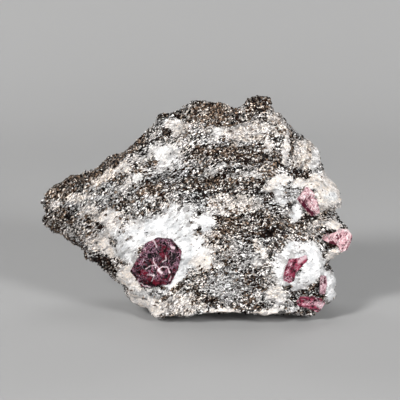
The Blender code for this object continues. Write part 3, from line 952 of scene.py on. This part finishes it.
@dataclass
class GrainScatter:
    """Grains or flakes of one mineral, which stand out of the block's skin wherever there is mica.

    Attributes:
        name: The piece's name.
        shape: The form of a grain.
        finish: Its finish.
        bare_below: The skin's share of mica below which none stand.
        full_above: The share above which they stand as thick as they can.
        spacing: The least distance between two.
        density: How many stand on a square millimetre where there are most.
        length: How long the smallest and the largest are.
        lean: How far they lean from the skin's own direction.
        seed: What their places are drawn from.
        sink: How far their middles lie under the skin.
        layering: How far they turn to lie along the mica layers.
        clearance: How far above the ground the lowest stand.
        thickness: How thick a flake is that is a unit long.
        unevenness: How uneven such a grain is.
        bumps: How many bumps it has along its length.
    """

    name: str
    shape: Shape
    finish: GrainFinish
    bare_below: float
    full_above: float
    spacing: float
    density: float
    length: tuple[float, float]
    lean: float
    seed: int
    sink: float
    layering: float = 0.9
    clearance: float = 0.9
    thickness: float = 0.13
    unevenness: float = 0.16
    bumps: float = 2.3
    obj: bpy.types.Object | None = None

    def form(self, number: int) -> bpy.types.Object:
        """Makes one form of the grain, a unit long.

        Args:
            number: Which of the forms it is, from which its unevenness is drawn.

        Returns:
            The form as an object outside the scene.
        """
        bm = bmesh.new()
        if self.shape is Shape.FLAKE:
            thick = self.thickness
            bmesh.ops.create_cone(bm, cap_ends=True, segments=5, radius1=0.5, radius2=0.5, depth=thick)
            bmesh.ops.scale(bm, vec=self.shape.value, verts=bm.verts)
            bmesh.ops.translate(bm, vec=(0.0, 0.0, thick / 2), verts=bm.verts)
            top = [vert for vert in bm.verts if vert.co.z > thick / 2]
            bmesh.ops.translate(bm, vec=FLAKE_SLANT, verts=top)
        else:
            bmesh.ops.create_icosphere(bm, subdivisions=1, radius=0.5)
            bmesh.ops.scale(bm, vec=self.shape.value, verts=bm.verts)
        for vert in bm.verts:
            spot = vert.co * self.bumps + Vector((number * FORM_SHIFT, self.seed, 0.0))
            vert.co += self.unevenness * noise.noise_vector(spot)
        bmesh.ops.recalc_face_normals(bm, faces=bm.faces)
        mesh = bpy.data.meshes.new(f"{self.name}_form_{number}")
        bm.to_mesh(mesh)
        bm.free()
        return bpy.data.objects.new(mesh.name, mesh)

    def scatter_tree(self, forms: bpy.types.Collection) -> bpy.types.NodeTree:
        """Makes the Geometry Nodes tree that stands the forms on a skin.

        Args:
            forms: The forms to choose from.

        Returns:
            The tree.
        """
        tree = bpy.data.node_groups.new(self.name, "GeometryNodeTree")
        tree.interface.new_socket("Geometry", in_out="INPUT", socket_type="NodeSocketGeometry")
        tree.interface.new_socket("Geometry", in_out="OUTPUT", socket_type="NodeSocketGeometry")
        node = partial(add_node, tree)
        skin = node("NodeGroupInput").outputs[0]
        mica = node("GeometryNodeInputNamedAttribute", {"Name": "mica"})
        wanted = node(MAP_RANGE, {"Value": mica, "From Min": self.bare_below, "From Max": self.full_above})
        place = node("GeometryNodeInputPosition")
        height = node("ShaderNodeSeparateXYZ", {0: place})
        is_clear = node("FunctionNodeCompare", {0: height.outputs[2], 1: self.clearance * MM})
        spots = node(
            "GeometryNodeDistributePointsOnFaces",
            {
                "Mesh": skin,
                "Selection": is_clear,
                "Distance Min": self.spacing * MM,
                "Density Max": self.density / MM**2,
                "Density Factor": wanted,
                "Seed": self.seed,
            },
            distribute_method="POISSON",
        )
        stray = node(
            RANDOM_VALUE,
            {0: (-self.lean,) * 3, 1: (self.lean,) * 3, "Seed": self.seed + 1},
            data_type="FLOAT_VECTOR",
        )
        layers = node("GeometryNodeInputNamedAttribute", {"Name": "layer_up"}, data_type="FLOAT_VECTOR")
        tilted = node(
            VECTOR_MATH,
            {0: layers, 1: (self.layering,) * 3, 2: spots.outputs["Normal"]},
            operation="MULTIPLY_ADD",
        )
        upward = node(VECTOR_MATH, {0: tilted, 1: stray}, operation="ADD")
        spin = node(
            RANDOM_VALUE,
            {0: (0.0, 0.0, 0.0), 1: (0.0, 0.0, math.tau), "Seed": self.seed + 2},
            data_type="FLOAT_VECTOR",
        )
        turned = node("FunctionNodeEulerToRotation", {0: spin})
        aligned = node("FunctionNodeAlignRotationToVector", {"Vector": upward}, axis="Z")
        facing = node("FunctionNodeRotateRotation", {0: aligned, 1: turned}, rotation_space="LOCAL")
        size = node(RANDOM_VALUE, {2: self.length[0] * MM, 3: self.length[1] * MM, "Seed": self.seed + 3})
        sink = node(VECTOR_MATH, {0: spots.outputs["Normal"], "Scale": -self.sink * MM}, operation="SCALE")
        sunk = node("GeometryNodeSetPosition", {"Geometry": spots, "Offset": sink})
        chosen = node("GeometryNodeCollectionInfo", {0: forms, 1: True, 2: True})
        stood = node(
            "GeometryNodeInstanceOnPoints",
            {"Points": sunk, "Instance": chosen, "Pick Instance": True, "Rotation": facing, "Scale": size},
        )
        for number, name in ((4, "tone"), (5, "draw")):
            drawn = node(RANDOM_VALUE, {2: 0.0, 3: 1.0, "Seed": self.seed + number})
            stood = node(
                "GeometryNodeStoreNamedAttribute",
                {"Geometry": stood, "Name": name, "Value": drawn},
                domain="INSTANCE",
            )
        real = node("GeometryNodeRealizeInstances", {"Geometry": stood})
        node("NodeGroupOutput", {0: real})
        return tree

    def build(self, block: SchistBlock) -> None:
        """Stands the grains on the block, as one mesh.

        Args:
            block: The block, with its makeup.
        """
        forms = bpy.data.collections.new(f"{self.name}_forms")
        for number in range(FORMS):
            forms.objects.link(self.form(number))
        self.obj = bpy.data.objects.new(self.name, block.obj.data.copy())
        bpy.context.scene.collection.objects.link(self.obj)
        tree = self.scatter_tree(forms)
        self.obj.modifiers.new("Scatter", "NODES").node_group = tree
        settle(self.obj)
        for form in list(forms.objects):
            mesh = form.data
            bpy.data.objects.remove(form)
            bpy.data.meshes.remove(mesh)
        bpy.data.collections.remove(forms)
        bpy.data.node_groups.remove(tree)

    def dress(self) -> None:
        """Gives the grains their material, and tells the frame what they go with."""
        self.obj.data.materials.clear()
        self.obj.data.materials.append(self.finish.material())
        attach(self.obj, "root")
        report(self.obj)


@dataclass(frozen=True)
class Mark:
    """A crack or a spot in a crystal: a path on its face, and how wide it is.

    Attributes:
        path: The places it passes, across and up.
        width: How wide it is.
        strength: How pale it is, or how dark when below 0.
    """

    path: tuple[tuple[float, float], ...]
    width: float
    strength: float = 1.0

    def weights(self, places: np.ndarray) -> np.ndarray:
        """Finds how strongly each place is marked.

        Args:
            places: The places, one row each.

        Returns:
            A weight from 0 to the mark's strength for each place.
        """
        strays = np.array([noise.noise_vector(Vector(place) / CRACK_WAVE) for place in places])
        flat = places[:, [0, 2]] + CRACK_STRAY * strays[:, [0, 2]]
        nearest = np.full(len(flat), np.inf)
        ends = self.path[1:] or self.path
        for start, end in zip(self.path, ends):
            a, b = np.array(start), np.array(end)
            length = max(float((b - a) @ (b - a)), 1e-9)
            along = np.clip(((flat - a) @ (b - a)) / length, 0.0, 1.0)
            nearest = np.minimum(nearest, np.linalg.norm(flat - a - along[:, None] * (b - a), axis=1))
        inside = CRACK_SHARPNESS - CRACK_SHARPNESS * nearest / self.width
        return self.strength * np.clip(inside, 0.0, 1.0)


@dataclass
class CorundumCrystal:
    """One crystal, broken across and filling its pocket.

    Attributes:
        node: The node it stands for.
        slot: The finish's slot, which is not used.
        finish: Its finish.
        grained: How many degrees its fractures climb to the right.
        stretch: How much longer its fractures are that way.
        cracks: Its cracks and pale spots.
        veils: The parts with more or fewer fine fractures.
        glows: The parts where the main colour shows more, or less when below 0.
        skin: How long a quad of its skin is.
        fill: How far its sides are grown, to close its pocket's gap.
        unevenness: How uneven its broken face is.
        step: How wide the steps in that face are.
        step_wave: How wide the waves are that bend the steps' edges.
        chip: How wide the chips in its skin are.
        chip_height: How high they are.
    """

    node: str
    slot: str
    finish: CorundumFinish
    grained: float = 90.0
    stretch: float = 1.5
    cracks: tuple[Mark, ...] = ()
    veils: tuple[Mark, ...] = ()
    glows: tuple[Mark, ...] = ()
    skin: float = 0.19
    fill: float = 0.42
    unevenness: float = 0.3
    step: float = 1.9
    step_wave: float = 2.2
    chip: float = 0.8
    chip_height: float = 0.1
    obj: bpy.types.Object | None = None

    def build(self) -> None:
        """Grows the crystal into its pocket and breaks its face."""
        bm = millimetre_copy(self.node, Vector((1.0, 0.25, 1.0)) * self.fill)
        self.obj = piece_from(bm, f"{self.node}_stone")
        reknit(self.obj, self.skin)
        places = vertex_places(self.obj.data)
        self.raise_relief(places)
        cos, sin = math.cos(math.radians(self.grained)), math.sin(math.radians(self.grained))
        along = (places[:, 0] * cos + places[:, 2] * sin) / self.stretch
        across = places[:, 2] * cos - places[:, 0] * sin
        write_values(self.obj.data, "grained_place", np.column_stack((along, places[:, 1], across)))
        for name, marks in (("crack", self.cracks), ("veil", self.veils), ("glow", self.glows)):
            total = sum((mark.weights(places) for mark in marks), np.zeros(len(places)))
            write_values(self.obj.data, name, total)

    def raise_relief(self, places: np.ndarray) -> None:
        """Moves the skin in and out by its broken steps.

        Args:
            places: The skin's vertices, one row each.
        """
        bm = bmesh.new()
        bm.from_mesh(self.obj.data)
        bm.normal_update()
        moves = []
        for vert, place in zip(bm.verts, places):
            point = Vector(place)
            bend = 0.5 * noise.noise_vector(point / self.step_wave)
            step = noise.cell(point / self.step + bend) - 0.5
            chip = noise.noise(point / self.chip)
            face = max(0.0, -vert.normal.y)
            height = self.unevenness * step * face + self.chip_height * chip
            moves.append((vert, vert.normal * height * MM))
        for vert, move in moves:
            vert.co += move
        bm.to_mesh(self.obj.data)
        bm.free()

    def dress(self) -> None:
        """Gives the crystal its material, and tells the frame what it stands for."""
        self.obj.data.materials.append(self.finish.material())
        self.obj.data.shade_smooth()
        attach(self.obj, "root")
        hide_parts(self.node)
        report(self.obj)


@dataclass
class Studio:
    """The pale floor, the soft lights and the camera.

    Attributes:
        target: What the camera looks at.
        elevation: How many degrees above level it stands.
        distance: How far from the target it stands.
        lens: Its focal length, in millimetres.
        floor_colour: The floor's main colour.
        floor_reach: Half its width and half its depth.
        floor_gap: How far it lies under the block.
        flat_until: How far behind the block it starts to curve up.
        curve: How gently it does.
    """

    target: tuple[float, float, float] = (1.65, -1.45, 32.7)
    elevation: float = 13.0
    distance: float = 483.3
    lens: float = 150.0
    floor_colour: str = "#a8a8a8"
    floor_reach: tuple[float, float] = (1500.0, 900.0)
    floor_gap: float = 0.05
    flat_until: float = 250.0
    curve: float = 420.0

    def build_floor(self) -> None:
        """Makes a pale floor that curves up into a backdrop, and gives it its material."""
        bm = bmesh.new()
        bmesh.ops.create_grid(bm, x_segments=8, y_segments=48, size=1.0)
        bmesh.ops.scale(bm, vec=(*self.floor_reach, 1.0), verts=bm.verts)
        for vert in bm.verts:
            beyond = max(0.0, vert.co.y - self.flat_until)
            vert.co.z = beyond * beyond / self.curve - self.floor_gap
        floor = piece_from(bm, "studio_floor")
        floor.data.shade_smooth()
        # Matt paint, pale and even, so that nothing on the floor draws the eye.
        material = blank_material("painted_studio_floor")
        node = partial(add_node, material.node_tree)
        coordinates = node("ShaderNodeTexCoord").outputs["Object"]
        cloud = node(NOISE, {"Vector": coordinates, "Scale": 6.0, "Detail": 2.0})
        colour = node(MIX, {0: cloud, 6: self.floor_colour, 7: "#a4a4a4"})
        surface = node(PRINCIPLED, {"Base Color": colour, "Roughness": 0.75})
        node(MATERIAL_OUTPUT, {"Surface": surface})
        floor.data.materials.append(material)

    def add_softbox(
        self, name: str, place: tuple[float, float, float], width: float, power: float, colour: str
    ) -> None:
        """Hangs a soft light that faces the block.

        Args:
            name: The light's name.
            place: Where it hangs.
            width: How wide it is.
            power: Its power in watts.
            colour: Its colour.
        """
        light = bpy.data.lights.new(name, "AREA")
        light.shape = "SQUARE"
        light.size = width * MM
        light.energy = power
        light.color = linear(colour)[:3]
        lamp = bpy.data.objects.new(name, light)
        lamp.location = Vector(place) * MM
        aim = Vector(self.target) * MM - lamp.location
        lamp.rotation_mode = "QUATERNION"
        lamp.rotation_quaternion = aim.to_track_quat("-Z", "Y")
        bpy.context.scene.collection.objects.link(lamp)

    def light(self) -> None:
        """Lights the block from above and in front, with a soft fill from the right and from behind."""
        self.add_softbox("key", (-600.0, -860.0, 690.0), 240.0, 13.6, "#fffefd")
        self.add_softbox("fill", (680.0, -880.0, 470.0), 300.0, 10.6, "#ffffff")
        self.add_softbox("front", (30.0, -780.0, 90.0), 330.0, 1.8, "#ffffff")
        self.add_softbox("top", (60.0, 160.0, 620.0), 260.0, 0.5, "#ffffff")
        self.add_softbox("back_left", (-610.0, 670.0, 430.0), 420.0, 3.6, "#ffffff")
        self.add_softbox("back_right", (580.0, 740.0, 470.0), 420.0, 3.6, "#ffffff")
        world = bpy.data.worlds.new("studio_air")
        world.use_nodes = True
        world.node_tree.nodes["Background"].inputs["Color"].default_value = linear("#f2f2f2")
        world.node_tree.nodes["Background"].inputs["Strength"].default_value = 0.07
        bpy.context.scene.world = world
        bpy.context.scene.view_settings.view_transform = "Standard"

    def add_camera(self) -> None:
        """Stands the camera in front of the block and a little above it."""
        tilt = math.radians(self.elevation)
        back = Vector((0.0, -math.cos(tilt), math.sin(tilt)))
        lens = bpy.data.cameras.new("front_camera")
        lens.lens = self.lens
        lens.clip_start = 0.01
        camera = bpy.data.objects.new("front_camera", lens)
        camera.location = (Vector(self.target) + back * self.distance) * MM
        camera.rotation_mode = "QUATERNION"
        camera.rotation_quaternion = (-back).to_track_quat("-Z", "Y")
        bpy.context.scene.collection.objects.link(camera)
        bpy.context.scene.camera = camera


# Black mica split along its sheets. Most flakes are dark, and the few almost white ones are painted glints.
BIOTITE = GrainFinish(
    "cleaved_biotite", "#020101", "#b4aaa0", "#180b05", "#a08f80", "bronze", roughness=0.25, bias=5.0
)
# Feldspar broken by the hammer, matt white to grey, and cream where iron has stained it.
FELDSPAR = GrainFinish(
    "broken_feldspar", "#6c6a68", "#f2f2f1", "#a48e7c", "#eadfd2", "stain", roughness=0.55, bias=1.1
)

# Corundum broken across: half glossy, dark where the eye sees into it, and paler the more it is fractured.
DARK_RUBY = CorundumFinish(
    "broken_dark_ruby_corundum",
    "#040102",
    "#540a1c",
    "#987284",
    "#f6e0e6",
    clear=0.22,
    misty=0.8,
    crinkle=0.8,
)
CRIMSON = CorundumFinish(
    "broken_crimson_corundum", "#28060f", "#7e2c42", "#d0a6b2", "#f6e6ea", clear=0.48, misty=1.0
)
PINK = CorundumFinish(
    "broken_pink_corundum", "#481426", "#b08a90", "#e8d8da", "#f8f0f0", clear=0.7, misty=1.0
)
DUSTY_PINK = CorundumFinish(
    "broken_dusty_pink_corundum", "#3c1822", "#a07e86", "#d2bcc0", "#eadcde", clear=0.78, misty=0.9
)
PALE_PINK = CorundumFinish(
    "broken_pale_pink_corundum", "#521e2c", "#c2989e", "#f0e0e0", "#fbf4f2", clear=0.76, misty=1.0
)

CRYSTALS = [
    CorundumCrystal(
        "corundum_large",
        "corundum_dark_red",
        DARK_RUBY,
        grained=60.0,
        stretch=1.2,
        cracks=(
            Mark(
                ((-11.6, 19.4), (-11.0, 17.6), (-9.8, 16.6), (-8.9, 17.4), (-7.4, 17.1), (-6.8, 15.6)),
                0.17,
                0.7,
            ),
            Mark(((-9.9, 16.3), (-9.2, 15.5)), 0.46, 0.8),
            Mark(((-11.6, 24.7), (-10.9, 23.4), (-10.6, 22.4)), 0.2, 0.6),
            Mark(((-7.9, 20.6), (-8.0, 19.2), (-8.9, 18.6)), 0.16, 0.5),
            Mark(((-6.4, 22.9), (-5.6, 22.3)), 0.35, 0.6),
            Mark(((-13.6, 16.6), (-12.4, 17.6), (-11.2, 17.6)), 0.16, 0.5),
            Mark(((-13.2, 15.0), (-11.2, 14.9)), 0.16, 0.5),
            Mark(((-16.1, 13.4), (-15.6, 12.2), (-14.4, 11.4), (-12.4, 11.3)), 0.18, 0.55),
            Mark(((-11.4, 15.2), (-11.8, 12.9)), 0.16, 0.45),
            Mark(((-6.6, 14.6), (-6.9, 13.2)), 0.18, 0.5),
            Mark(((-14.4, 22.9), (-13.9, 21.6)), 0.16, 0.45),
        ),
        veils=(
            Mark(((-15.4, 18.0), (-12.6, 22.4)), 3.0, 0.22),
            Mark(((-9.4, 24.4), (-7.0, 23.9)), 1.6, 0.3),
            Mark(((-5.3, 16.6), (-4.8, 18.6)), 1.4, 0.5),
            Mark(((-14.6, 12.6), (-12.6, 12.8)), 1.4, -0.3),
            Mark(((-8.8, 21.8), (-8.2, 20.6)), 1.5, -0.4),
            Mark(((-11.4, 12.6), (-8.4, 12.4)), 1.0, -0.25),
        ),
        glows=(
            Mark(((-8.8, 21.8), (-8.2, 20.6)), 1.5, 0.45),
            Mark(((-14.2, 15.6), (-12.2, 13.6)), 1.2, 0.25),
            Mark(((-10.8, 12.8), (-7.6, 12.8)), 1.1, 0.45),
            Mark(((-12.6, 20.4), (-10.4, 22.2)), 1.6, -0.4),
            Mark(((-6.2, 21.2), (-6.2, 19.0)), 1.4, -0.4),
        ),
    ),
    CorundumCrystal(
        "corundum_upper_right",
        "corundum_pink",
        PINK,
        grained=125.0,
        veils=(Mark(((30.2, 35.4), (31.6, 33.3), (33.6, 31.3)), 0.85, -0.8),),
        glows=(Mark(((30.2, 35.4), (31.6, 33.3), (33.6, 31.3)), 0.8, -0.8),),
    ),
    CorundumCrystal(
        "corundum_right_edge",
        "corundum_pale_pink",
        PALE_PINK,
        grained=70.0,
        cracks=(Mark(((38.4, 25.7), (41.4, 26.8), (43.6, 26.5), (44.8, 25.0)), 0.6, 0.35),),
        veils=(Mark(((38.9, 22.9), (39.7, 22.2)), 0.9, -1.0),),
        glows=(Mark(((38.9, 22.9), (39.7, 22.2)), 0.9, -1.5),),
    ),
    CorundumCrystal(
        "corundum_in_knob",
        "corundum_red",
        CRIMSON,
        grained=65.0,
        stretch=2.0,
        cracks=(Mark(((29.9, 18.9), (31.6, 20.0)), 0.9, 0.4),),
        glows=(Mark(((29.0, 18.2), (31.6, 20.2)), 1.2, 0.5),),
    ),
    CorundumCrystal(
        "corundum_sliver",
        "corundum_pink",
        DUSTY_PINK,
        glows=(Mark(((35.6, 13.4), (36.4, 13.0)), 1.2, -0.6),),
    ),
    CorundumCrystal(
        "corundum_bottom_right",
        "corundum_red",
        CRIMSON,
        grained=-15.0,
        stretch=1.8,
        cracks=(Mark(((35.2, 5.8), (36.6, 5.2)), 1.3, 0.3),),
    ),
]

SCATTERS = [
    GrainScatter(
        name="biotite_flakes",
        shape=Shape.FLAKE,
        finish=BIOTITE,
        bare_below=0.12,
        full_above=0.85,
        spacing=0.4,
        density=1.5,
        length=(0.5, 1.2),
        lean=0.8,
        seed=11,
        sink=0.05,
    ),
    GrainScatter(
        name="feldspar_grains",
        shape=Shape.GRAIN,
        finish=FELDSPAR,
        bare_below=0.08,
        full_above=0.4,
        spacing=0.6,
        density=0.5,
        length=(0.5, 1.3),
        lean=0.9,
        seed=37,
        sink=0.08,
    ),
]


def main() -> None:
    """Builds the block, its grains, its crystals and the studio, and reports each piece."""
    logging.basicConfig(level=logging.INFO, format="%(message)s")
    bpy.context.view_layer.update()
    noise.seed_set(NOISE_SEED)
    block = SchistBlock()
    block.build([crystal.node for crystal in CRYSTALS])
    block.dress()
    for scatter in SCATTERS:
        scatter.build(block)
        scatter.dress()
    for crystal in CRYSTALS:
        crystal.build()
        crystal.dress()
    studio = Studio()
    studio.build_floor()
    studio.light()
    studio.add_camera()


if __name__ == "__main__":
    main()
